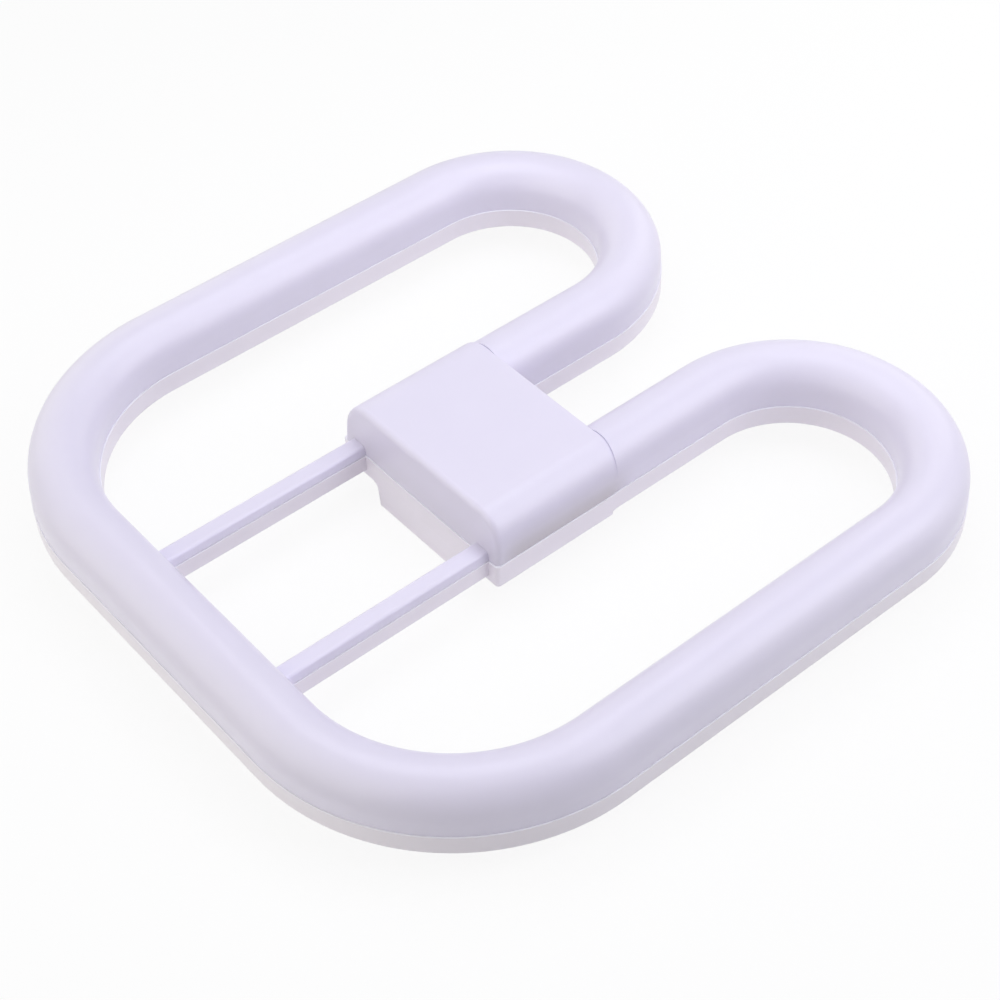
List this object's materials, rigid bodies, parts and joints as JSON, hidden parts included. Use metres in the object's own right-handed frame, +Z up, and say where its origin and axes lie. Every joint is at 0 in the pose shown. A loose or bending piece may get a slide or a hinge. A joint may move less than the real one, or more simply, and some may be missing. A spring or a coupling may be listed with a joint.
{
  "type": "square led lamp",
  "caption": "Flat square lamp: a tube looped round a central driver housing and tied to it by thin ribs, with an opal cover over LED boards and a pinned cap beneath.",
  "frame": {"origin": "under the middle of the lamp, in the plane of the cap foot", "axes": "+Z up through the crown of the diffuser, +X towards the two tube loops with the cross bar on -X, mirror plane of the outside at y = 0"},
  "size_m": [0.2056, 0.205, 0.0285],
  "materials": {
    "opal_cover": "satin moulded opal polycarbonate",
    "white_base": "satin moulded white polycarbonate",
    "circuit_board": "green solder mask on glass-fibre board",
    "ferrite": "ground ferrite",
    "winding_tape": "yellow polyester tape over the winding",
    "can_sleeve": "shrunk dark sleeve on an aluminium can",
    "film_box": "yellow moulded box",
    "varistor_coat": "dipped blue epoxy",
    "resistor_coat": "grey-green flameproof lacquer",
    "chip_plastic": "black moulded epoxy",
    "led_board_mask": "white solder mask on an aluminium strip",
    "led_phosphor": "white package with a yellow phosphor window",
    "lead_red": "red insulated wire",
    "lead_black": "black insulated wire",
    "plated_brass": "nickel-plated turned brass"
  },
  "bodies": {
    "root": {"base_shell": "white_base", "bridge_rectifier": "chip_plastic", "contact_pin_1": "plated_brass", "contact_pin_2": "plated_brass", "contact_pin_3": "plated_brass", "contact_pin_4": "plated_brass", "diffuser_cover": "opal_cover", "driver_board": "circuit_board", "driver_chip": "chip_plastic", "film_capacitor": "film_box", "fuse_resistor": "resistor_coat", "input_capacitor": "can_sleeve", "input_choke": "ferrite", "led_board_left": "led_board_mask", "led_board_right": "led_board_mask", "led_lead_negative_left": "lead_black", "led_lead_negative_right": "lead_black", "led_lead_positive_left": "lead_red", "led_lead_positive_right": "lead_red", "leds_left": "led_phosphor", "leds_right": "led_phosphor", "output_capacitor": "can_sleeve", "transformer_core": "ferrite", "transformer_winding": "winding_tape", "varistor": "varistor_coat"}
  },
  "joints": []
}
